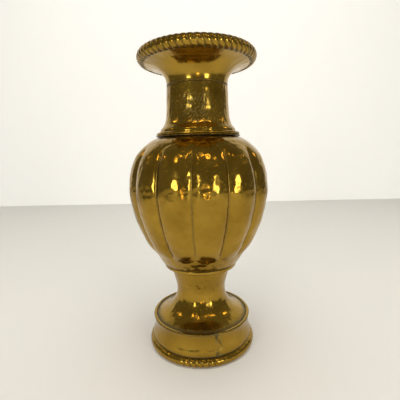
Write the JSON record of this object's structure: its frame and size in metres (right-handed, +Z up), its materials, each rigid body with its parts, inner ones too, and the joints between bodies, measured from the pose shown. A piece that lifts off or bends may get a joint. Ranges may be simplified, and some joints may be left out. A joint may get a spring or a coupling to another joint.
{
  "type": "brass vase",
  "caption": "Footed brass vase with a lobed belly on a waisted pedestal, a cylindrical neck and a flared mouth with rope beads at rim and foot.",
  "frame": {"origin": "centre of the foot, on the surface that the vase stands on", "axes": "+Z up along the vase's axis, -Y to the front of the picture, +X to the right"},
  "size_m": [0.2265, 0.2266, 0.4798],
  "materials": {
    "sheet_brass": "aged polished sheet brass, planished, darker in the joints",
    "bowl_brass": "aged polished brass with planishing marks, dark grooves between the lobes",
    "wire_brass": "worn brass wire and band with grey solder at the edges",
    "bead_brass": "rolled brass bead, chased as a rope, dark in the chased lines"
  },
  "bodies": {
    "root": {"foot_rope": "bead_brass", "base_wall": "sheet_brass", "pedestal": "sheet_brass", "bottom_ring": "wire_brass", "body": "bowl_brass", "neck": "sheet_brass", "collar_ring": "wire_brass", "lip": "sheet_brass", "rim_rope": "bead_brass"}
  },
  "joints": []
}
